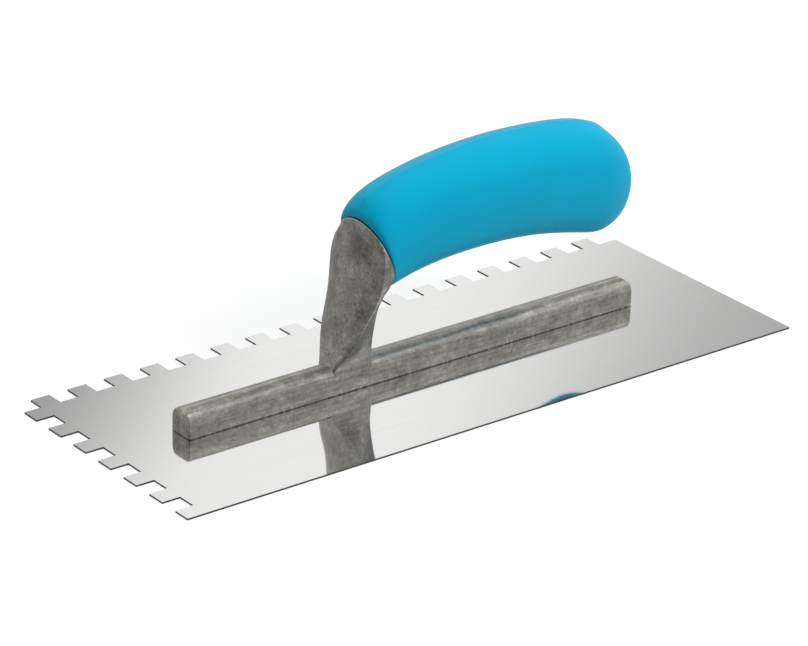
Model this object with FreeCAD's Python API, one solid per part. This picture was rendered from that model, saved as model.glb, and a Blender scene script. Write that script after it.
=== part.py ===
import FreeCAD, Part
import math
import os

# Notched trowel: a thin steel blade with square notches along one long edge and one short edge,
# riveted from below to a cast mounting, which carries a soft-skinned grip on a tang.
# Millimetres. +X runs from the notched short edge (toe) to the plain one (heel), +Y points to the
# notched long edge, +Z points up to the grip. The origin is the centre of the blade's underside.

Vector = FreeCAD.Vector
UP = Vector(0, 0, 1)

# ---- blade ----
blade_length = 280.0
blade_width = 110.7
blade_thickness = 0.7
tooth_width = 8.0
notch_width = 8.0
notch_depth = 7.5
corner_notch = 7.4

# ---- bar of the mounting, cast in one with the post and the tang ----
bar_length = 207.5
bar_width = 11.1
bar_height = 10.5
bar_shift = -0.75
bar_shoulder = 4.9
bar_end_radius = 2.6
bar_edge_radius = 0.5
parting_depth = 0.22
parting_width = 0.36

# ---- post ----
post_root_front = -39.0
post_root_depth = 16.2
post_root_sink = 5.0
post_flare = 1.6
post_belly = 0.9
joint_height = 51.2
joint_front = -21.85
joint_lean = 18.7
joint_half_length = 14.6
joint_half_width = 15.5
post_root_inset = 0.15
side_bulge = 0.06

# Places round the oval joint, in degrees from its top, of the panel's edge, the ridge, the back of the
# rim and the corner of the web.
JOINT_TURNS = (36, 60, 112, 146)

# The same four corners where the post leaves the bar: half widths as shares of the root's half width,
# and setbacks in millimetres.
ROOT_SHARES = (0.86, 1.0, 1.0, 0.94)
ROOT_SETBACKS = (0.25, 0.6, 1.6, 0.35)

# One row per cross-section of the post between the bar and the joint. Each row gives the height of
# the section's front point as a share of the front's rise, the place of its back point as shares of
# the back's run and rise, then half widths and setbacks of the four corners in millimetres.
POST_ROWS = [
    (0.10, 0.10, 0.20, (7.1, 8.5, 8.1, 4.9), (0.3, 1.0, 1.9, 0.4)),
    (0.30, 0.35, 0.55, (8.6, 12.1, 11.5, 5.2), (0.7, 2.3, 3.4, 0.6)),
    (0.56, 0.72, 0.85, (9.6, 15.2, 14.6, 7.0), (1.2, 4.0, 6.0, 1.4)),
    (0.77, 0.92, 0.95, (9.4, 16.3, 15.8, 9.8), (1.9, 4.8, 9.0, 3.2)),
]

# ---- tang and handle screw ----
tang_length = 52.0
tang_width = 11.0
tang_thickness = 9.0
tang_corner = 1.5
tang_rise = 2.1
tang_root = 5.0
tang_gap = 0.2
screw_radius = 2.5
screw_engagement = 18.0
screw_gap = 0.05
screw_head_radius = 4.6
screw_head_height = 3.2
screw_socket_width = 4.0
screw_socket_depth = 2.0
washer_radius = 5.4
washer_thickness = 1.0

# ---- rivets ----
rivet_count = 9
rivet_end_margin = 12.0
rivet_shank_radius = 2.0
rivet_head_radius = 3.2
rivet_grip_depth = 7.0
rivet_gap = 0.05

# ---- grip ----
grip_length = 124.6
grip_height = 73.4
grip_joint_level = 40.7
skin_wall = 2.6
bond_gap = 0.2
plug_radius = 6.0
plug_length = 4.0
plug_gap = 0.1
plug_space = 3.0
ring_points = 20

# One row per cross-section of the grip, behind the joint, which is the first section of all. Each row
# gives where the section's top and bottom points lie, as shares of the run from the joint's own top or
# bottom to the grip's end, and of grip_height over a level grip_joint_level below the joint's centre.
# Then come its half width in millimetres and its squareness.
GRIP_ROWS = [
    (0.000, 0.789, 0.013, 0.370, 15.9, 2.10),
    (0.029, 0.852, 0.041, 0.382, 16.2, 2.20),
    (0.117, 0.917, 0.106, 0.407, 16.4, 2.25),
    (0.278, 0.971, 0.237, 0.439, 16.5, 2.30),
    (0.462, 1.000, 0.427, 0.444, 16.5, 2.30),
    (0.631, 0.997, 0.610, 0.420, 16.8, 2.30),
    (0.791, 0.974, 0.774, 0.366, 17.0, 2.30),
    (0.892, 0.926, 0.866, 0.334, 16.2, 2.30),
    (0.962, 0.823, 0.937, 0.366, 13.0, 2.20),
    (1.000, 0.690, 0.987, 0.482, 7.0, 2.00),
]

bar_bottom = blade_thickness
bar_top = bar_bottom + bar_height
bar_start = bar_shift - bar_length / 2
pitch = tooth_width + notch_width
lean = math.radians(joint_lean)
joint_centre = Vector(joint_front, 0, blade_thickness + joint_height)
joint_up = Vector(-math.sin(lean), 0, math.cos(lean))
joint_top = joint_centre + joint_up * joint_half_length
joint_bottom = joint_centre - joint_up * joint_half_length
grip_front = joint_top.x
grip_floor = joint_centre.z - grip_joint_level


def blade_outline():
    """Corner points of the blade from the near corner at the toe, clockwise, notches cut square."""
    toe, heel = -blade_length / 2, blade_length / 2
    near, far = -blade_width / 2, blade_width / 2
    first_y = far - corner_notch
    first_x = toe + corner_notch
    toe_notches = int((blade_width - corner_notch) // pitch)
    long_teeth = int((blade_length - corner_notch) // pitch)
    points = [(toe, near)]
    for k in reversed(range(toe_notches)):
        notch_top = first_y - tooth_width - pitch * k
        points.append((toe, notch_top - notch_width))
        points.append((toe + notch_depth, notch_top - notch_width))
        points.append((toe + notch_depth, notch_top))
        points.append((toe, notch_top))
    points.append((toe, first_y))
    points.append((first_x, first_y))
    for k in range(long_teeth):
        start = first_x + pitch * k
        if k:
            points.append((start, far - notch_depth))
        points.append((start, far))
        points.append((start + tooth_width, far))
        points.append((start + tooth_width, far - notch_depth))
    points.append((heel, far - notch_depth))
    points.append((heel, near))
    return points


def rivet_places():
    """Positions along X of the rivets, spread evenly under the bar."""
    first = bar_start + rivet_end_margin
    step = (bar_length - 2 * rivet_end_margin) / (rivet_count - 1)
    return [first + step * k for k in range(rivet_count)]


def rivet_solid(x, gap):
    """One countersunk rivet standing on its head, or the hole for it when a gap is given."""
    foot = Vector(x, 0, 0)
    head = Part.makeCone(rivet_head_radius + gap, rivet_shank_radius + gap, blade_thickness, foot, UP)
    seat = Vector(x, 0, blade_thickness)
    shank = Part.makeCylinder(rivet_shank_radius + gap, rivet_grip_depth + gap, seat, UP)
    return head.fuse(shank).removeSplitter()


def make_blade():
    corners = [Vector(x, y, 0) for x, y in blade_outline()]
    plate = Part.Face(Part.makePolygon(corners + corners[:1])).extrude(Vector(0, 0, blade_thickness))
    for x in rivet_places():
        plate = plate.cut(rivet_solid(x, rivet_gap))
    return plate


def make_bar():
    """Straight bar with an arched top, its top corners rounded at both ends."""
    box = Part.makeBox(bar_length, bar_width, bar_height, Vector(bar_start, -bar_width / 2, bar_bottom))
    across = []
    for edge in box.Edges:
        middle = edge.CenterOfMass
        if edge.Length < bar_width + 0.01 and abs(middle.z - bar_top) < 0.01 and abs(middle.y) < 0.01:
            across.append(edge)
    side_form = box.makeFillet(bar_end_radius, across)
    long_edges = []
    for edge in box.Edges:
        middle = edge.CenterOfMass
        if edge.Length > bar_length - 1 and middle.z > bar_top - 0.1:
            long_edges.append(edge)
    end_form = box.makeFillet(bar_shoulder, long_edges)
    upright = []
    for edge in end_form.Edges:
        middle = edge.CenterOfMass
        at_end = abs(abs(middle.x - bar_shift) - bar_length / 2) < 0.01
        if at_end and middle.z > bar_bottom + 0.01:
            upright.append(edge)
    end_form = end_form.makeFillet(bar_edge_radius, upright)
    return end_form.common(side_form)


def groove_face(apex, inward, across):
    """V-shaped face whose point lies parting_depth below a surface, and which opens outwards past it."""
    reach = parting_depth + 1
    half = parting_width / 2 * reach / parting_depth
    corners = [apex, apex - inward * reach - across * half, apex - inward * reach + across * half]
    return Part.Face(Part.makePolygon(corners + corners[:1]))


def parting_groove():
    """Fine groove that the halves of the mould leave along the bar's top and down its toe end."""
    across = Vector(0, 1, 0)
    start = Vector(bar_start - 1, 0, bar_top - parting_depth)
    along = groove_face(start, -UP, across).extrude(Vector(bar_length + 2, 0, 0))
    foot = Vector(bar_start + parting_depth, 0, 0)
    down = groove_face(foot, Vector(1, 0, 0), across).extrude(Vector(0, 0, bar_top + 1))
    return along.fuse(down)


def section_wire(front, back, half_widths, setbacks, bulge):
    """Closed section of the post, symmetrical about the middle plane.

    It runs from the front point round four corners on each side to the back point: the panel's edge,
    the ridge, the back of the rim and the corner of the web. The first three setbacks are measured
    from the front point and the last one from the back point.
    """
    along = (back - front).normalize()
    across = Vector(0, 1, 0)
    depth = (back - front).Length
    places = list(setbacks[:3]) + [depth - setbacks[3]]
    far = [front + along * place + across * half for place, half in zip(places, half_widths)]
    near = [front + along * place - across * half for place, half in zip(places, half_widths)]
    arcs = [Part.Arc(near[0], front, far[0])]
    arcs += [side_arc(far[k], far[k + 1], across * bulge) for k in range(3)]
    arcs.append(Part.Arc(far[3], back, near[3]))
    arcs += [side_arc(near[k + 1], near[k], across * -bulge) for k in reversed(range(3))]
    return Part.Wire([arc.toShape() for arc in arcs])


def side_arc(start, end, outward):
    """Arc from start to end whose middle stands outward of the straight line."""
    return Part.Arc(start, (start + end) * 0.5 + outward, end)


def joint_wire():
    """The oval joint, cut at the same corners as the post's sections."""
    def at(turn):
        up = joint_up * (joint_half_length * math.cos(turn))
        return joint_centre + up + Vector(0, joint_half_width * math.sin(turn), 0)

    turns = [math.radians(turn) for turn in JOINT_TURNS]
    stops = [-turns[0]] + turns + [2 * math.pi - turn for turn in reversed(turns)]
    arcs = [Part.Arc(at(a), at((a + b) / 2), at(b)) for a, b in zip(stops, stops[1:])]
    return Part.Wire([arc.toShape() for arc in arcs])


def make_post():
    """Post that widens from the bar to the oval joint, leaning back as it rises."""
    root_back = post_root_front + post_root_depth
    root_half = bar_width / 2 - post_root_inset

    def front_at(share):
        x = post_root_front + (joint_top.x - post_root_front) * share + post_belly * 4 * share * (1 - share)
        return Vector(x, 0, bar_top + (joint_top.z - bar_top) * share)

    def back_at(share_x, share_z):
        x = root_back + (joint_bottom.x - root_back) * share_x
        return Vector(x, 0, bar_top + (joint_bottom.z - bar_top) * share_z)

    flare = Vector(post_flare, 0, 0)
    sink = Vector(0, 0, -post_root_sink)
    root_halves = [root_half * share for share in ROOT_SHARES]
    wires = [
        section_wire(front_at(0) - flare + sink, back_at(0, 0) + flare + sink, root_halves, ROOT_SETBACKS,
                     side_bulge),
        section_wire(front_at(0) - flare / 3, back_at(0, 0) + flare / 3, root_halves, ROOT_SETBACKS,
                     side_bulge),
    ]
    for front_up, back_along, back_up, half_widths, setbacks in POST_ROWS:
        wires.append(section_wire(front_at(front_up), back_at(back_along, back_up), half_widths, setbacks,
                                  side_bulge))
    wires.append(joint_wire())
    return Part.makeLoft(wires, True, False)


def axis_point(x):
    """Point at x on the level line that the tang, the screw, the washer and the plug share."""
    return Vector(x, 0, joint_centre.z + tang_rise)


def tang_solid(gap):
    """Rounded square tang from just inside the post, or the socket for it when a gap is given."""
    start = joint_centre.x - tang_root
    length = joint_centre.x + tang_length + gap - start
    width = tang_width + 2 * gap
    thickness = tang_thickness + 2 * gap
    corner = axis_point(start) - Vector(0, width / 2, thickness / 2)
    bar = Part.makeBox(length, width, thickness, corner)
    long_edges = [edge for edge in bar.Edges if edge.Length > length - 0.01]
    return bar.makeFillet(tang_corner, long_edges)


tang_end = joint_centre.x + tang_length
screw_tip = tang_end - screw_engagement
seat_x = grip_front + grip_length - plug_length - plug_space - screw_head_height - washer_thickness


def make_casting():
    """Bar, post and tang in one piece, with blind holes for the rivets and the handle screw."""
    body = make_bar().cut(parting_groove()).fuse(make_post()).fuse(tang_solid(0))
    for x in rivet_places():
        body = body.cut(rivet_solid(x, rivet_gap))
    hole = Part.makeCylinder(
        screw_radius + screw_gap, screw_engagement + 2, axis_point(screw_tip - 1), Vector(1, 0, 0))
    return body.cut(hole).removeSplitter()


def make_rivets():
    return Part.makeCompound([rivet_solid(x, 0) for x in rivet_places()])


def ring(top, bottom, half_width, squareness):
    """Closed smooth section through a top and a bottom point; squareness 2 is an ellipse."""
    middle = (top + bottom) * 0.5
    half = (top - bottom) * 0.5
    power = 2 / squareness
    points = []
    for k in range(ring_points):
        turn = 2 * math.pi * k / ring_points
        c, s = math.cos(turn), math.sin(turn)
        up = math.copysign(abs(c) ** power, c)
        side = math.copysign(abs(s) ** power, s)
        points.append(middle + half * up + Vector(0, half_width * side, 0))
    curve = Part.BSplineCurve()
    curve.interpolate(Points=points, PeriodicFlag=True)
    return Part.Wire(curve.toShape())


def grip_solid(inset):
    """The grip's outer form, or the form lying inset inside it; both start at the joint's plane."""
    end = grip_front + grip_length - inset
    rows = [(joint_top, joint_bottom, joint_half_width, 2.0)]
    for top_along, top_up, bottom_along, bottom_up, half_width, squareness in GRIP_ROWS:
        top_x = joint_top.x + (end - joint_top.x) * top_along
        bottom_x = joint_bottom.x + (end - joint_bottom.x) * bottom_along
        top = Vector(top_x, 0, grip_floor + grip_height * top_up)
        bottom = Vector(bottom_x, 0, grip_floor + grip_height * bottom_up)
        rows.append((top, bottom, half_width, squareness))
    wires = []
    for top, bottom, half_width, squareness in rows:
        inward = (top - bottom).normalize() * inset
        wires.append(ring(top - inward, bottom + inward, half_width - inset, squareness))
    return Part.makeLoft(wires, True, False)


def round_bar(radius, start, end):
    """Cylinder on the handle's screw line from x = start to x = end."""
    return Part.makeCylinder(radius, end - start, axis_point(start), Vector(1, 0, 0))


grip_end = grip_front + grip_length
past_end = grip_end + 10


def make_core():
    """Hard core that slides over the tang; a counterbore at the rear takes the screw's head."""
    core = grip_solid(skin_wall)
    core = core.cut(tang_solid(tang_gap))
    core = core.cut(round_bar(screw_radius + tang_gap, tang_end - 1, seat_x + 1))
    return core.cut(round_bar(plug_radius + plug_gap, seat_x, past_end))


def make_skin():
    """Soft skin moulded over the core, open at the joint and round the plug."""
    skin = grip_solid(0).cut(grip_solid(skin_wall - bond_gap))
    return skin.cut(round_bar(plug_radius + plug_gap, seat_x, past_end))


def make_screw():
    head_start = seat_x + washer_thickness
    head_end = head_start + screw_head_height
    screw = round_bar(screw_radius, screw_tip, head_start)
    screw = screw.fuse(round_bar(screw_head_radius, head_start, head_end))
    corners = []
    for k in range(7):
        turn = math.radians(60 * k)
        radius = screw_socket_width / math.sqrt(3)
        offset = Vector(0, radius * math.cos(turn), radius * math.sin(turn))
        corners.append(axis_point(head_end - screw_socket_depth) + offset)
    socket = Part.Face(Part.makePolygon(corners)).extrude(Vector(screw_socket_depth + 1, 0, 0))
    return screw.cut(socket).removeSplitter()


def make_washer():
    disc = round_bar(washer_radius, seat_x, seat_x + washer_thickness)
    return disc.cut(round_bar(screw_radius + tang_gap, seat_x - 1, seat_x + washer_thickness + 1))


def make_plug():
    """Plug over the screw's head, its outer face flush with the rounded end of the grip."""
    start = seat_x + washer_thickness + screw_head_height + plug_space
    return round_bar(plug_radius, start, past_end).common(grip_solid(0))


os.makedirs("parts", exist_ok=True)
nodes = {
    "blade": make_blade(),
    "mounting_casting": make_casting(),
    "blade_rivets": make_rivets(),
    "grip_core": make_core(),
    "grip_skin": make_skin(),
    "handle_screw": make_screw(),
    "screw_washer": make_washer(),
    "end_plug": make_plug(),
}
for name, shape in nodes.items():
    box = shape.BoundBox
    print(name, "solids", len(shape.Solids), "valid", shape.isValid(), "volume", round(shape.Volume),
          "x", round(box.XMin, 1), round(box.XMax, 1), "y", round(box.YMin, 1), round(box.YMax, 1),
          "z", round(box.ZMin, 1), round(box.ZMax, 1))
    shape.exportStep("parts/" + name + ".step")
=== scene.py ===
# %% [markdown]
# # A notched trowel
#
# A notched trowel spreads adhesive in even ridges. It has a thin springy steel blade with square
# notches, a cast bar and post riveted to the blade, and an arched grip with a soft skin. The CAD
# model brings every piece at its real size. Blender adds the finish, and models again what the CAD
# holds only plainly: the soft skin, the plug at its end and the softened edges of the casting.

# %% Load the frame
import math

import bmesh
import bpy
from mathutils import Matrix, Vector


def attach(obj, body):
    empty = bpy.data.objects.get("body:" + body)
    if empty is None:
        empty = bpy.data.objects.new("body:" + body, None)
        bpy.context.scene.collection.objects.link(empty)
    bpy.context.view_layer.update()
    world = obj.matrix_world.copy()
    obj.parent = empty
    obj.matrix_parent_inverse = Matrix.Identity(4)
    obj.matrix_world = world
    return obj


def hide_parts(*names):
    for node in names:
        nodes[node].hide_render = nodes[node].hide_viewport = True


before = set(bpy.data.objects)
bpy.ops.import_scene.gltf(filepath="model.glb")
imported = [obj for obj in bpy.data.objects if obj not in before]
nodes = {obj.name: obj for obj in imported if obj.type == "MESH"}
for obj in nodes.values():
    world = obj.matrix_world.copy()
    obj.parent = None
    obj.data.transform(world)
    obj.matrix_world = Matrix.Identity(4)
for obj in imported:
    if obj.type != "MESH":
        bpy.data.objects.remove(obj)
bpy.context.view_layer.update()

MM = 0.001
print("CAD nodes:", sorted(nodes))

# %% [markdown]
# ## The camera
#
# A product picture is taken from far away with a long lens, so that the edges of the blade stay
# nearly parallel. The camera stands a metre and a half off, towards the toe and the near side, and
# looks down at the tool. Its place and turn could come from a tracking constraint; plain numbers
# are easier to read, and they can't drift when the object changes.

# %% Camera
camera_data = bpy.data.cameras.new("product_camera")
camera_data.sensor_fit = "HORIZONTAL"
camera_data.sensor_width = 36.0
camera_data.lens = 183.96
camera_data.clip_end = 50.0
camera = bpy.data.objects.new("product_camera", camera_data)
bpy.context.scene.collection.objects.link(camera)
right = Vector((0.79275, -0.60914, 0.02236))
back = Vector((-0.56239, -0.71677, 0.41226)).normalized()
right = (right - back * right.dot(back)).normalized()
turn = Matrix((right, back.cross(right), back)).transposed()
camera.matrix_world = Matrix.Translation((-0.86466, -1.09698, 0.64989)) @ turn.to_4x4()
bpy.context.scene.camera = camera
print("camera height", round(camera.location.z, 3), "m, lens", camera_data.lens, "mm")

# %% [markdown]
# ## Small helpers
#
# Colours are written as the usual web values, so one function turns them to the linear values that
# the shaders want. Another adds a node with its settings and links, which keeps each material short.

# %% Helpers for colours and nodes


def colour(web):
    """Linear RGBA of an sRGB value such as '#8A8680'."""
    parts = [int(web[k:k + 2], 16) / 255 for k in (1, 3, 5)]
    linear = [c / 12.92 if c <= 0.04045 else ((c + 0.055) / 1.055) ** 2.4 for c in parts]
    return (*linear, 1.0)


def add(tree, kind, sockets=None, **settings):
    """Adds a node, sets its settings, and fills its sockets with values or links."""
    node = tree.nodes.new(kind)
    for name, value in settings.items():
        setattr(node, name, value)
    for name, value in (sockets or {}).items():
        if isinstance(value, bpy.types.NodeSocket):
            tree.links.new(value, node.inputs[name])
        else:
            node.inputs[name].default_value = value
    return node


def new_material(name):
    """An empty node material with its output; returns the material and its tree."""
    material = bpy.data.materials.new(name)
    material.use_nodes = True
    tree = material.node_tree
    tree.nodes.clear()
    tree.nodes.new("ShaderNodeOutputMaterial")
    return material, tree


def finish_material(tree, shader):
    """Links a shader to the material's output."""
    output = next(node for node in tree.nodes if node.type == "OUTPUT_MATERIAL")
    tree.links.new(shader.outputs[0], output.inputs["Surface"])


def ramp(tree, factor, stops):
    """A colour ramp; stops are (position, web colour) pairs."""
    node = add(tree, "ShaderNodeValToRGB", {"Fac": factor})
    elements = node.color_ramp.elements
    while len(elements) < len(stops):
        elements.new(0.5)
    for element, (place, web) in zip(elements, stops):
        element.position = place
        element.color = colour(web)
    return node.outputs["Color"]


# %% [markdown]
# ## Brushed stainless steel
#
# The blade is cold-rolled stainless sheet with a very fine straight grain, polished until it mirrors
# the bar above it. It could be a plain mirror, but then it would look like glass. Streaks that run
# along the blade vary its roughness a little and lift its normal a hair. The cut edges are sheared and
# rough; the material finds them by their level normals and paints them dark.

# %% Brushed stainless steel


def make_blade_steel():
    material, tree = new_material("brushed_stainless_steel")
    place = add(tree, "ShaderNodeTexCoord").outputs["Object"]
    # Grain lines are about 0.15 mm apart on the real sheet; 0.5 mm is the finest that shows.
    grain_spread = add(tree, "ShaderNodeMapping", {"Vector": place, "Scale": (9.0, 2000.0, 1.0)})
    grain = add(tree, "ShaderNodeTexNoise", {
        "Vector": grain_spread.outputs["Vector"], "Scale": 1.0, "Detail": 3.0, "Roughness": 0.6})
    cloud = add(tree, "ShaderNodeTexNoise", {"Vector": place, "Scale": 14.0, "Detail": 2.0})
    tone = ramp(tree, grain.outputs["Fac"], [(0.3, "#D6D6D5"), (0.7, "#DCDCDB")])
    rough = add(tree, "ShaderNodeMapRange", {
        "Value": cloud.outputs["Fac"], "From Min": 0.3, "From Max": 0.7, "To Min": 0.035, "To Max": 0.055})
    bump = add(tree, "ShaderNodeBump", {
        "Height": grain.outputs["Fac"], "Strength": 0.015, "Distance": 0.00002})
    face = add(tree, "ShaderNodeBsdfPrincipled", {
        "Base Color": tone, "Metallic": 1.0, "Roughness": rough.outputs["Result"],
        "Normal": bump.outputs["Normal"]})
    # The cut edges are painted a dark mottled colour.
    edge_mottle = add(tree, "ShaderNodeTexNoise", {"Vector": place, "Scale": 900.0, "Detail": 2.0})
    edge_tone = ramp(tree, edge_mottle.outputs["Fac"], [(0.3, "#4C4A48"), (0.7, "#7B7875")])
    edge = add(tree, "ShaderNodeBsdfPrincipled", {
        "Base Color": edge_tone, "Metallic": 1.0, "Roughness": 0.5})
    normal = add(tree, "ShaderNodeNewGeometry").outputs["True Normal"]
    parts = add(tree, "ShaderNodeSeparateXYZ", {"Vector": normal})
    upright = add(tree, "ShaderNodeMath", {0: parts.outputs["Z"]}, operation="ABSOLUTE")
    is_face = add(tree, "ShaderNodeMath", {0: upright.outputs[0], 1: 0.5}, operation="GREATER_THAN")
    both = add(tree, "ShaderNodeMixShader", {0: is_face.outputs[0], 1: edge.outputs[0], 2: face.outputs[0]})
    finish_material(tree, both)
    return material


blade_steel = make_blade_steel()
nodes["blade"].data.materials.clear()
nodes["blade"].data.materials.append(blade_steel)
print("blade:", len(nodes["blade"].data.polygons), "faces")

# %% [markdown]
# ## Die-cast aluminium
#
# The bar and the post come from one mould and are only tumbled afterwards, so the skin of the
# casting shows: cloudy grey patches, a fine grit, and long rubbed streaks on the bar. Real pits and
# patches have several sizes at once, so the material mixes three noises instead of one.

# %% Die-cast aluminium


def make_cast_metal():
    material, tree = new_material("die_cast_aluminium")
    place = add(tree, "ShaderNodeTexCoord").outputs["Object"]
    # Clouds 6 mm across, mottle 1.2 mm across and grit 0.4 mm across.
    cloud = add(tree, "ShaderNodeTexNoise", {
        "Vector": place, "Scale": 160.0, "Detail": 4.0, "Roughness": 0.6})
    mottle = add(tree, "ShaderNodeTexNoise", {
        "Vector": place, "Scale": 800.0, "Detail": 3.0, "Roughness": 0.65})
    grit = add(tree, "ShaderNodeTexNoise", {"Vector": place, "Scale": 2400.0, "Detail": 2.0})
    rubbed = add(tree, "ShaderNodeMapping", {"Vector": place, "Scale": (60.0, 900.0, 900.0)})
    streak = add(tree, "ShaderNodeTexNoise", {
        "Vector": rubbed.outputs["Vector"], "Scale": 1.0, "Detail": 3.0, "Roughness": 0.7})
    blend = add(tree, "ShaderNodeMath", {0: cloud.outputs["Fac"], 1: mottle.outputs["Fac"]}, operation="ADD")
    blend = add(tree, "ShaderNodeMath", {0: blend.outputs[0], 1: streak.outputs["Fac"]}, operation="ADD")
    shade = add(tree, "ShaderNodeMapRange", {
        "Value": blend.outputs[0], "From Min": 1.15, "From Max": 1.85, "To Min": 0.0, "To Max": 1.0})
    tone = ramp(tree, shade.outputs["Result"], [
        (0.0, "#706E6A"), (0.35, "#8B8984"), (0.65, "#9B9893"), (1.0, "#BAB6B0")])
    # Edges are lightened, partly as wear from handling and partly as a painted highlight like the one
    # rounded edges catch. A mask compares the true normal with one rounded over 0.7 mm.
    rounded = add(tree, "ShaderNodeBevel", {"Radius": 0.7 * MM}, samples=6)
    true_normal = add(tree, "ShaderNodeNewGeometry").outputs["Normal"]
    agree = add(tree, "ShaderNodeVectorMath", {0: rounded.outputs[0], 1: true_normal},
                operation="DOT_PRODUCT")
    wear_and_highlight = add(tree, "ShaderNodeMapRange", {
        "Value": agree.outputs["Value"], "From Min": 0.97, "From Max": 0.8, "To Min": 0.0, "To Max": 0.45})
    tone = add(tree, "ShaderNodeMix", {
        0: wear_and_highlight.outputs["Result"], 6: tone, 7: colour("#E2DED6")}, data_type="RGBA").outputs[2]
    # A dark patch about 12 mm across, high on the post's panel, is painted shade for the hollow where the
    # thumb rests.
    away = add(tree, "ShaderNodeVectorMath", {0: place, 1: (-0.028, -0.0025, 0.057)},
               operation="DISTANCE")
    thumb_hollow_shade = add(tree, "ShaderNodeMapRange", {
        "Value": away.outputs["Value"], "From Min": 1.5 * MM, "From Max": 8.0 * MM,
        "To Min": 0.6, "To Max": 0.0})
    tone = add(tree, "ShaderNodeMix", {
        0: thumb_hollow_shade.outputs["Result"], 6: tone, 7: colour("#4B4844")}, data_type="RGBA").outputs[2]
    # Painted contact shadow: a dark line with a ragged top in the corner between the bar and the blade, up
    # to 0.5 mm above it.
    height = add(tree, "ShaderNodeSeparateXYZ", {"Vector": place}).outputs["Z"]
    ragged = add(tree, "ShaderNodeMath", {0: mottle.outputs["Fac"], 1: 0.8 * MM, 2: height},
                 operation="MULTIPLY_ADD")
    contact_shade = add(tree, "ShaderNodeMapRange", {
        "Value": ragged.outputs[0], "From Min": 1.25 * MM, "From Max": 1.65 * MM,
        "To Min": 0.85, "To Max": 0.0})
    tone = add(tree, "ShaderNodeMix", {
        0: contact_shade.outputs["Result"], 6: tone, 7: colour("#1C1B1A")}, data_type="RGBA").outputs[2]
    rough = add(tree, "ShaderNodeMapRange", {
        "Value": mottle.outputs["Fac"], "From Min": 0.3, "From Max": 0.7, "To Min": 0.36, "To Max": 0.5})
    coarse = add(tree, "ShaderNodeBump", {
        "Height": mottle.outputs["Fac"], "Strength": 0.2, "Distance": 0.0003})
    fine = add(tree, "ShaderNodeBump", {
        "Height": grit.outputs["Fac"], "Strength": 0.3, "Distance": 0.0001,
        "Normal": coarse.outputs["Normal"]})
    shader = add(tree, "ShaderNodeBsdfPrincipled", {
        "Base Color": tone, "Metallic": 1.0, "Roughness": rough.outputs["Result"],
        "Normal": fine.outputs["Normal"]})
    finish_material(tree, shader)
    return material


cast_metal = make_cast_metal()

# %% [markdown]
# ## Soft skin
#
# The grip's skin is a thermoplastic elastomer, dyed in the mass and moulded in a finely spark-eroded
# tool. It is satin: a broad soft highlight with no sharp reflection. Its colour hardly varies, so the
# life in it comes from a fine grain and from slow changes of tone and gloss.

# %% Soft skin


def make_skin_rubber():
    material, tree = new_material("satin_elastomer")
    place = add(tree, "ShaderNodeTexCoord").outputs["Object"]
    drift = add(tree, "ShaderNodeTexNoise", {"Vector": place, "Scale": 30.0, "Detail": 3.0})
    tone = ramp(tree, drift.outputs["Fac"], [(0.3, "#00A8CF"), (0.7, "#00B0D7")])
    # Spark-eroded grain is about 0.1 mm; 0.35 mm is the finest that shows here.
    grain = add(tree, "ShaderNodeTexNoise", {"Vector": place, "Scale": 2800.0, "Detail": 2.0})
    rough = add(tree, "ShaderNodeMapRange", {
        "Value": drift.outputs["Fac"], "From Min": 0.3, "From Max": 0.7, "To Min": 0.42, "To Max": 0.52})
    bump = add(tree, "ShaderNodeBump", {
        "Height": grain.outputs["Fac"], "Strength": 0.12, "Distance": 0.0001})
    shader = add(tree, "ShaderNodeBsdfPrincipled", {
        "Base Color": tone, "Roughness": rough.outputs["Result"], "IOR": 1.5,
        "Specular IOR Level": 0.14, "Normal": bump.outputs["Normal"]})
    finish_material(tree, shader)
    return material


skin_rubber = make_skin_rubber()

# %% [markdown]
# ## Hidden and small pieces
#
# The rivets' heads are ground flush with the blade. The core, the screw and its washer are inside
# the grip, and get the plain workshop finishes that such pieces have.

# %% Finishes of the small pieces


def make_plain(name, dark, light, metallic, rough, grain_scale):
    """A finish with a fine mottle between two tones and the same mottle in its roughness."""
    material, tree = new_material(name)
    place = add(tree, "ShaderNodeTexCoord").outputs["Object"]
    mottle = add(tree, "ShaderNodeTexNoise", {"Vector": place, "Scale": grain_scale, "Detail": 3.0})
    tone = ramp(tree, mottle.outputs["Fac"], [(0.3, dark), (0.7, light)])
    roughness = add(tree, "ShaderNodeMapRange", {
        "Value": mottle.outputs["Fac"], "From Min": 0.3, "From Max": 0.7,
        "To Min": rough - 0.05, "To Max": rough + 0.05})
    shader = add(tree, "ShaderNodeBsdfPrincipled", {
        "Base Color": tone, "Metallic": metallic, "Roughness": roughness.outputs["Result"]})
    finish_material(tree, shader)
    return material


rivet_steel = make_plain("ground_rivet_steel", "#8F8E8B", "#B5B4B1", 1.0, 0.35, 1500.0)
core_plastic = make_plain("moulded_polypropylene", "#17181A", "#202225", 0.0, 0.45, 400.0)
zinc_plate = make_plain("zinc_plated_steel", "#A8A9AB", "#C6C8CB", 1.0, 0.3, 600.0)
plug_plastic = make_plain("moulded_plug_plastic", "#0088B8", "#0093C4", 0.0, 0.4, 500.0)
finishes = {
    "mounting_casting": cast_metal,
    "blade_rivets": rivet_steel,
    "grip_core": core_plastic,
    "grip_skin": skin_rubber,
    "handle_screw": zinc_plate,
    "screw_washer": zinc_plate,
    "end_plug": plug_plastic,
}
for name, material in finishes.items():
    nodes[name].data.materials.clear()
    nodes[name].data.materials.append(material)
print("finishes on", len(finishes) + 1, "CAD nodes")

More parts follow.
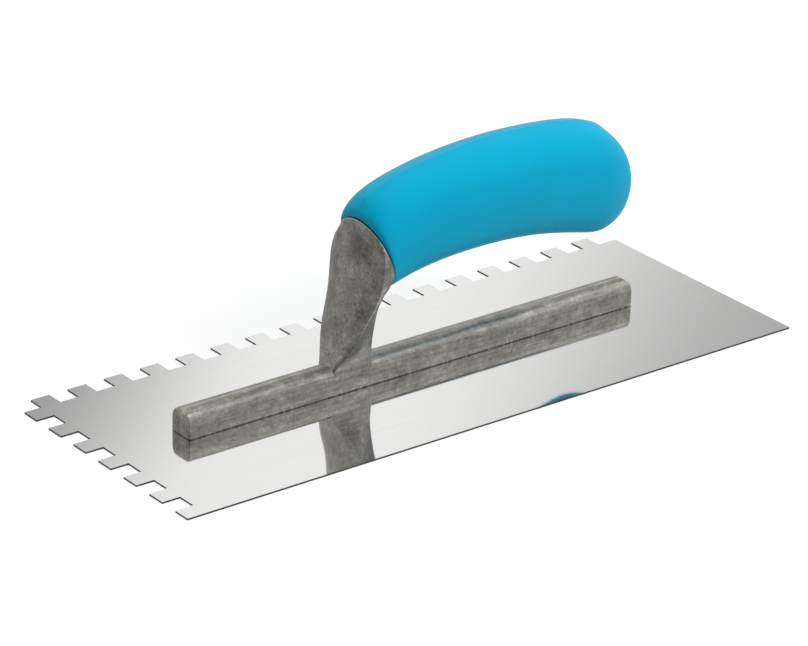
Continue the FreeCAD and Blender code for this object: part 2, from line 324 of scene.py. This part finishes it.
# %% [markdown]
# ## The grip
#
# The soft skin is a thick tube that arches from the joint to a rounded rear end, with a parting line
# where the halves of its mould met. A curve with a bevel could follow the arch, but its section would
# stay one oval, and the real one changes all the way. So one ring of edges starts at the joint, and is
# extruded, turned and resized again and again, as a modeller would do it by hand, until it closes
# round the plug. The same rings, set inwards, lead back along the inside, so the rubber has a real
# wall. The subdivision modifier then smooths it.

# %% Sizes of the grip, in millimetres
JOINT_CENTRE = Vector((-21.85, 0, 51.9))
JOINT_HALF_LENGTH = 14.6
JOINT_HALF_WIDTH = 15.5
JOINT_LEAN = 18.7
GRIP_END = 98.07
GRIP_FLOOR = 11.2
GRIP_HEIGHT = 73.4
PLUG_HEIGHT = 54.0
HOLE_RADIUS = 6.15
SKIN_WALL = 1.7
RING_SIDES = 24
# Subdivision pulls a ring of edges in, so each ring starts that much larger.
RING_SWELL = 3 / (2 + math.cos(2 * math.pi / RING_SIDES))

# Each row places one ring: where its top and its bottom lie, as shares of the run from the joint to
# the rear end and of the grip's height, then its half width in millimetres, and how far its diagonals
# are pushed out from those of the ring before.
GRIP_RINGS = [
    (0.000, 0.789, 0.013, 0.370, 15.75, 1.010),
    (0.029, 0.852, 0.041, 0.382, 15.75, 1.010),
    (0.117, 0.917, 0.106, 0.407, 15.65, 1.010),
    (0.278, 0.971, 0.237, 0.439, 16.30, 1.008),
    (0.462, 1.000, 0.427, 0.444, 16.55, 1.000),
    (0.631, 0.997, 0.610, 0.420, 16.80, 1.000),
    (0.791, 0.974, 0.774, 0.366, 16.95, 1.000),
    (0.892, 0.926, 0.866, 0.334, 16.20, 1.000),
    (0.962, 0.823, 0.937, 0.366, 13.20, 0.990),
    (0.992, 0.745, 0.978, 0.427, 9.60, 0.985),
]


def section(top, bottom, half_width):
    """A ring's centre, tilt, half height and half width, in metres and radians."""
    middle, half = (top + bottom) / 2, (top - bottom) / 2
    return {"centre": middle * MM, "tilt": math.atan2(-half.x, half.z),
            "height": half.length * RING_SWELL * MM, "width": half_width * RING_SWELL * MM}


joint_up = Vector((-math.sin(math.radians(JOINT_LEAN)), 0, math.cos(math.radians(JOINT_LEAN))))
joint_top = JOINT_CENTRE + joint_up * JOINT_HALF_LENGTH
joint_bottom = JOINT_CENTRE - joint_up * JOINT_HALF_LENGTH


def row_section(row, inset=0.0):
    """The ring of a row, or the ring lying inset inside it."""
    end = GRIP_END - inset
    top = Vector((joint_top.x + (end - joint_top.x) * row[0], 0, GRIP_FLOOR + GRIP_HEIGHT * row[1]))
    bottom = Vector((joint_bottom.x + (end - joint_bottom.x) * row[2], 0, GRIP_FLOOR + GRIP_HEIGHT * row[3]))
    inward = (top - bottom).normalized() * inset
    return section(top - inward, bottom + inward, row[4] - inset)


def lip_section(inset, rise, run):
    """A ring of the lip: its top lies above the joint's top by rise, its bottom behind it by run."""
    return section(joint_top - joint_up * inset + Vector((0, 0, rise)),
                   joint_bottom + joint_up * inset + Vector((run, 0, 0.2 * run)), JOINT_HALF_WIDTH - inset)


def hole_section(along, radius):
    """A round ring of the hole for the plug, at a place along the grip."""
    centre, reach = Vector((along, 0, PLUG_HEIGHT)), Vector((0, 0, radius))
    return section(centre + reach, centre - reach, radius)


def fill_in(rows):
    """Adds a ring half way between each two, on the smooth curve through the four nearest."""
    filled = [rows[0]]
    for k in range(1, len(rows)):
        four = [rows[max(k - 2, 0)], rows[k - 1], rows[k], rows[min(k + 1, len(rows) - 1)]]
        middle = [(9 * (b + c) - a - d) / 16 for a, b, c, d in zip(*four)]
        push = math.sqrt(rows[k][5])
        filled += [(*middle[:5], push), (*rows[k][:5], push)]
    return filled


grip_rows = fill_in(GRIP_RINGS)
print("grip rings:", len(grip_rows), "rows and the joint's lip")

# %% Operators that shape a ring


def clear_selection():
    """Leaves object mode with nothing selected, so that an operator touches only the new piece."""
    if bpy.context.object and bpy.context.object.mode == "EDIT":
        bpy.ops.object.mode_set(mode="OBJECT")
    bpy.ops.object.select_all(action="DESELECT")


def tip(angle, centre):
    """Turns the selection about the Y axis; without a window the operator turns the other way."""
    bpy.ops.transform.rotate(value=TURN_SIGN * angle, orient_axis="Y", center_override=centre)


def reshape(old, new):
    """Moves the selected ring from one section to another."""
    tip(-old["tilt"], old["centre"])
    bpy.ops.transform.resize(
        value=(1, new["width"] / old["width"], new["height"] / old["height"]), center_override=old["centre"])
    bpy.ops.transform.translate(value=new["centre"] - old["centre"])
    tip(new["tilt"], new["centre"])


def push_diagonals(section_now, amount):
    """Pushes the ring's diagonals out, which makes an oval a little squarer."""
    mesh = bmesh.from_edit_mesh(bpy.context.object.data)
    ring = [vert for vert in mesh.verts if vert.select]
    up = Vector((-math.sin(section_now["tilt"]), 0, math.cos(section_now["tilt"])))
    for vert in ring:
        offset = vert.co - section_now["centre"]
        across = abs(offset.y) / section_now["width"]
        vert.select = 0.3 < across < 0.95 and abs(offset.dot(up)) > 0.3 * section_now["height"]
    mesh.select_flush_mode()
    bpy.ops.transform.resize(value=(amount, amount, amount), center_override=section_now["centre"])
    for vert in ring:
        vert.select = True
    mesh.select_flush(True)


# The sense of the turn is measured on a loose point, so the rings are right in any version.
clear_selection()
bpy.ops.mesh.primitive_circle_add(vertices=4, radius=1.0, location=(0, 0, 0), rotation=(0, 0, 0))
bpy.ops.object.mode_set(mode="EDIT")
bpy.ops.transform.rotate(value=0.5, orient_axis="Y", center_override=(0, 0, 0))
bpy.ops.object.mode_set(mode="OBJECT")
tipped = max(bpy.context.object.data.vertices, key=lambda vert: vert.co.x).co
# A section whose top leans towards -X has a positive tilt; +X then rises.
TURN_SIGN = 1.0 if tipped.z > 0 else -1.0
bpy.ops.object.delete()
print("turn sign:", TURN_SIGN)

# %% Model the grip
clear_selection()
start = lip_section(SKIN_WALL, 1.5, 0.4)
bpy.ops.mesh.primitive_circle_add(
    vertices=RING_SIDES, radius=start["height"], location=start["centre"], rotation=(0, math.radians(90), 0))
grip = bpy.context.object
grip.name = "soft_skin"
bpy.ops.object.transform_apply(location=True, rotation=True, scale=True)
bpy.ops.object.mode_set(mode="EDIT")
bpy.ops.mesh.select_mode(type="VERT")
bpy.ops.mesh.select_all(action="SELECT")
reshape(dict(start, tilt=0.0, width=start["height"]), start)
# The lip, the outer rows, round the edge of the hole, back inside, and home to the first ring.
rings = [(lip_section(0.7, 1.5, 0.4), 1.0), (lip_section(0.2, 1.6, 0.5), 1.0),
         (lip_section(0.0, 2.0, 0.8), 1.0)]
rings += [(row_section(row), row[5]) for row in grip_rows]
rings += [(hole_section(GRIP_END, HOLE_RADIUS + 0.8), 1.0), (hole_section(GRIP_END, HOLE_RADIUS + 0.1), 1.0),
          (hole_section(GRIP_END - 0.3, HOLE_RADIUS), 1.0), (hole_section(GRIP_END - 1.8, HOLE_RADIUS), 1.0)]
rings += [(hole_section(GRIP_END - SKIN_WALL - 0.2, HOLE_RADIUS + 0.5), 1.0)]
rings += [(row_section(row, SKIN_WALL), 1 / row[5]) for row in reversed(grip_rows)]
rings += [(start, 1.0)]
now = start
for new, push in rings:
    bpy.ops.mesh.extrude_region_move(TRANSFORM_OT_translate={"value": (0, 0, 0)})
    reshape(now, new)
    now = new
    if push != 1.0:
        push_diagonals(now, push)
bpy.ops.mesh.select_all(action="SELECT")
bpy.ops.mesh.remove_doubles(threshold=0.02 * MM)
bpy.ops.mesh.normals_make_consistent(inside=False)
bpy.ops.object.mode_set(mode="OBJECT")
print("grip before smoothing:", len(grip.data.polygons), "faces")

# %% Parting line and smoothing of the grip
SEAM_HALF_WIDTH = 0.35
SEAM_HEIGHT = 0.14
SEAM_START = -24
SEAM_STOP = 94


def select_edges(piece, wanted):
    """Selects the edges of a piece, in edit mode, whose two ends pass a test."""
    bpy.ops.object.mode_set(mode="EDIT")
    bpy.ops.mesh.select_mode(type="EDGE")
    bpy.ops.mesh.select_all(action="DESELECT")
    mesh = bmesh.from_edit_mesh(piece.data)
    for edge in mesh.edges:
        edge.select_set(wanted(edge.verts[0], edge.verts[1]))
    bmesh.update_edit_mesh(piece.data)
    return mesh


def on_seam(vert):
    """True for a point in the middle plane, on the outer surface away from the joint and the hole."""
    outwards = vert.normal.z * (1 if vert.co.z > 60 * MM else -1)
    return abs(vert.co.y) < 0.01 * MM and outwards > 0.3 and (
        SEAM_START * MM < vert.co.x < SEAM_STOP * MM)


select_edges(grip, lambda a, b: on_seam(a) and on_seam(b))
bpy.ops.mesh.bevel(offset=SEAM_HALF_WIDTH * MM, segments=2, affect="EDGES")
select_edges(grip, lambda a, b: on_seam(a) and on_seam(b))
bpy.ops.transform.shrink_fatten(value=SEAM_HEIGHT * MM)
bpy.ops.object.mode_set(mode="OBJECT")
bpy.ops.object.modifier_add(type="SUBSURF")
grip.modifiers[-1].levels = grip.modifiers[-1].render_levels = 2
bpy.ops.object.modifier_apply(modifier=grip.modifiers[-1].name)
bpy.ops.object.shade_smooth()
grip.data.materials.append(skin_rubber)
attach(grip, "root")
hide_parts("grip_skin")
print("grip:", len(grip.data.polygons), "faces")

# %% [markdown]
# ## The plug in the rear end
#
# A pressed-in plug hides the screw. It could stay a plain disc, but a moulded plug has a rounded rim
# and a shallow dish, which catch the light. It starts as a cylinder, turned to lie along the grip. Its
# outer face is inset and pushed in, and then the rim is bevelled.

# %% Model the plug
PLUG_RADIUS = 6.0
PLUG_START = 94.1
PLUG_END = 97.85
PLUG_RIM_WIDTH = 1.3
PLUG_DISH_DEPTH = 0.4
PLUG_ROUNDING = 0.4
clear_selection()
bpy.ops.mesh.primitive_cylinder_add(
    vertices=64, radius=PLUG_RADIUS * MM, depth=(PLUG_END - PLUG_START) * MM,
    location=((PLUG_START + PLUG_END) / 2 * MM, 0, PLUG_HEIGHT * MM), rotation=(0, math.radians(90), 0))
plug = bpy.context.object
plug.name = "rear_plug"
bpy.ops.object.transform_apply(location=True, rotation=True, scale=True)
bpy.ops.object.mode_set(mode="EDIT")
bpy.ops.mesh.select_mode(type="FACE")
bpy.ops.mesh.select_all(action="DESELECT")
mesh = bmesh.from_edit_mesh(plug.data)
for face in mesh.faces:
    face.select_set(face.normal.x > 0.9)
bmesh.update_edit_mesh(plug.data)
bpy.ops.mesh.inset(thickness=PLUG_RIM_WIDTH * MM)
bpy.ops.mesh.inset(thickness=0.5 * MM, depth=-PLUG_DISH_DEPTH * MM)
select_edges(plug, lambda a, b: all(
    v.co.x > (PLUG_END - 0.01) * MM and math.hypot(v.co.y, v.co.z - PLUG_HEIGHT * MM) > 5.9 * MM
    for v in (a, b)))
bpy.ops.mesh.bevel(offset=PLUG_ROUNDING * MM, segments=3, affect="EDGES")
bpy.ops.object.mode_set(mode="OBJECT")
bpy.ops.object.shade_smooth_by_angle(angle=math.radians(40))
plug.data.materials.append(plug_plastic)
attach(plug, "root")
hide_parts("end_plug")
print("plug:", len(plug.data.polygons), "faces")

# %% [markdown]
# ## The casting
#
# The bar and the post come out of the mould with every corner softened. The CAD node already has the
# right shape with crisp edges. Modelling it anew would only lose its measured sizes, so a copy of its
# mesh is welded, and its edges are rounded by the bevel modifier.

# %% Soften the casting
EDGE_ROUNDING = 0.3
clear_selection()
casting = nodes["mounting_casting"].copy()
casting.data = nodes["mounting_casting"].data.copy()
casting.name = "bar_and_post"
bpy.context.scene.collection.objects.link(casting)
casting.select_set(True)
bpy.context.view_layer.objects.active = casting
bpy.ops.object.mode_set(mode="EDIT")
bpy.ops.mesh.select_all(action="SELECT")
bpy.ops.mesh.remove_doubles(threshold=0.005 * MM)
bpy.ops.mesh.dissolve_limited(angle_limit=math.radians(0.5))
bpy.ops.object.mode_set(mode="OBJECT")
bpy.ops.object.modifier_add(type="BEVEL")
bevel = casting.modifiers[-1]
bevel.width = EDGE_ROUNDING * MM
bevel.segments = 3
bevel.angle_limit = math.radians(35)
bpy.ops.object.modifier_apply(modifier=bevel.name)
bpy.ops.object.shade_smooth_by_angle(angle=math.radians(20))
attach(casting, "root")
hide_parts("mounting_casting")
print("casting:", len(casting.data.polygons), "faces")

# %% [markdown]
# ## The stage
#
# The tool stands on a white sweep in soft studio light. The floor is a real surface that takes the
# tool's shadow, and it glows a little for the camera alone so that it reads as white paper. The world
# is a plain grey light for matt surfaces. Polished metal shows what stands round it, so for mirrored
# rays the world is a white studio with soft dark and bright patches, which give the metal its shading.

# %% Floor
bpy.ops.mesh.primitive_plane_add(size=12.0, location=(0, 0, -0.00005))
floor = bpy.context.object
floor.name = "white_sweep"
paper, paper_tree = new_material("white_paper")
rays = add(paper_tree, "ShaderNodeLightPath")
matt = add(paper_tree, "ShaderNodeBsdfDiffuse", {"Color": colour("#C8C8C8")})
glow = add(paper_tree, "ShaderNodeEmission", {"Color": (1, 1, 1, 1), "Strength": 0.5})
dark = add(paper_tree, "ShaderNodeEmission", {"Color": (0, 0, 0, 1), "Strength": 0.0})
lift = add(paper_tree, "ShaderNodeMixShader", {
    0: rays.outputs["Is Camera Ray"], 1: dark.outputs[0], 2: glow.outputs[0]})
finish_material(paper_tree, add(paper_tree, "ShaderNodeAddShader", {0: matt.outputs[0], 1: lift.outputs[0]}))
floor.data.materials.append(paper)

# %% World


def direction(azimuth, elevation):
    """Unit vector; azimuth is counted from +X towards +Y."""
    a, e = math.radians(azimuth), math.radians(elevation)
    return Vector((math.cos(e) * math.cos(a), math.cos(e) * math.sin(a), math.sin(e)))


def lobe(tree, ray, centre, inner, outer):
    """1 within inner degrees of a direction, 0 beyond outer degrees, smooth between."""
    dot = add(tree, "ShaderNodeVectorMath", {0: ray, 1: centre}, operation="DOT_PRODUCT")
    return add(tree, "ShaderNodeMapRange", {
        "Value": dot.outputs["Value"], "From Min": math.cos(math.radians(outer)),
        "From Max": math.cos(math.radians(inner)), "To Min": 0.0, "To Max": 1.0},
        interpolation_type="SMOOTHSTEP").outputs["Result"]


world = bpy.data.worlds.new("studio")
bpy.context.scene.world = world
world.use_nodes = True
tree = world.node_tree
tree.nodes.clear()
rays = add(tree, "ShaderNodeLightPath")
ray = add(tree, "ShaderNodeTexCoord").outputs["Generated"]
# What polished metal sees: a white studio with dark patches, each given by its azimuth, elevation,
# inner and outer radius in degrees, and depth. The first two shade the blade's ends, the next two the
# post's bevel and the bar's near side, and the next two the bar's toe end and the blade from above.
# The last two have a negative depth, so they are bright: they light the bar's shoulder and the rim.
DARK_PATCHES = [
    (63, 22, 5.4, 8.8, 0.72),
    (38, 28, 7.5, 12.7, 0.59),
    (190, 6, 16, 46, 0.95),
    (-48, 26, 10, 45, 0.10),
    (128, 24, 8, 28, 0.40),
    (0, 90, 12, 50, 0.45),
    (-35, 50, 8, 26, -0.90),
    (6, 38, 6, 18, -0.60),
]
studio = 1.14
for azimuth, elevation, inner, outer, depth in DARK_PATCHES:
    patch = lobe(tree, ray, direction(azimuth, elevation), inner, outer)
    studio = add(tree, "ShaderNodeMath", {0: patch, 1: -depth, 2: studio},
                 operation="MULTIPLY_ADD").outputs[0]
soft = add(tree, "ShaderNodeMapRange", {
    "Value": lobe(tree, ray, direction(188, 0), 20, 85), "From Min": 0.0, "From Max": 1.0,
    "To Min": 0.5, "To Max": 0.06})
ambient = add(tree, "ShaderNodeBackground", {"Color": (1, 1, 1, 1), "Strength": soft.outputs["Result"]})
mirrored = add(tree, "ShaderNodeBackground", {"Color": (1, 1, 1, 1), "Strength": studio})
white = add(tree, "ShaderNodeBackground", {"Color": (1, 1, 1, 1), "Strength": 1.0})
seen = add(tree, "ShaderNodeMixShader", {0: rays.outputs["Is Glossy Ray"], 1: ambient.outputs[0],
                                         2: mirrored.outputs[0]})
clear = add(tree, "ShaderNodeMath", {
    0: rays.outputs["Is Camera Ray"], 1: rays.outputs["Is Transmission Ray"]}, operation="MAXIMUM")
final = add(tree, "ShaderNodeMixShader", {0: clear.outputs[0], 1: seen.outputs[0], 2: white.outputs[0]})
tree.links.new(final.outputs[0], add(tree, "ShaderNodeOutputWorld").inputs["Surface"])

# %% Lamps


def softbox(name, place, aim, size, power):
    """A square area lamp at a place, turned to an aim."""
    data = bpy.data.lights.new(name, "AREA")
    data.size = size
    data.energy = power
    lamp = bpy.data.objects.new(name, data)
    lamp.location = place
    lamp.rotation_euler = (Vector(aim) - Vector(place)).to_track_quat("-Z", "Y").to_euler()
    bpy.context.scene.collection.objects.link(lamp)
    return lamp


key = softbox("key_softbox", (0.7, -1.2, 1.1), (0, 0, 0.03), 0.9, 14.0)
top = softbox("top_softbox", (-0.2, 0.3, 1.5), (0, 0, 0), 1.2, 10.0)
# The metal mirrors the studio of the world, not the lamps, which would bleach the bar and the blade.
key.visible_glossy = top.visible_glossy = False
print("stage ready")

# %% [markdown]
# ## Colour handling
#
# The view is Standard, so a colour shows as it is written.

# %% Finish
bpy.context.scene.view_settings.view_transform = "Standard"
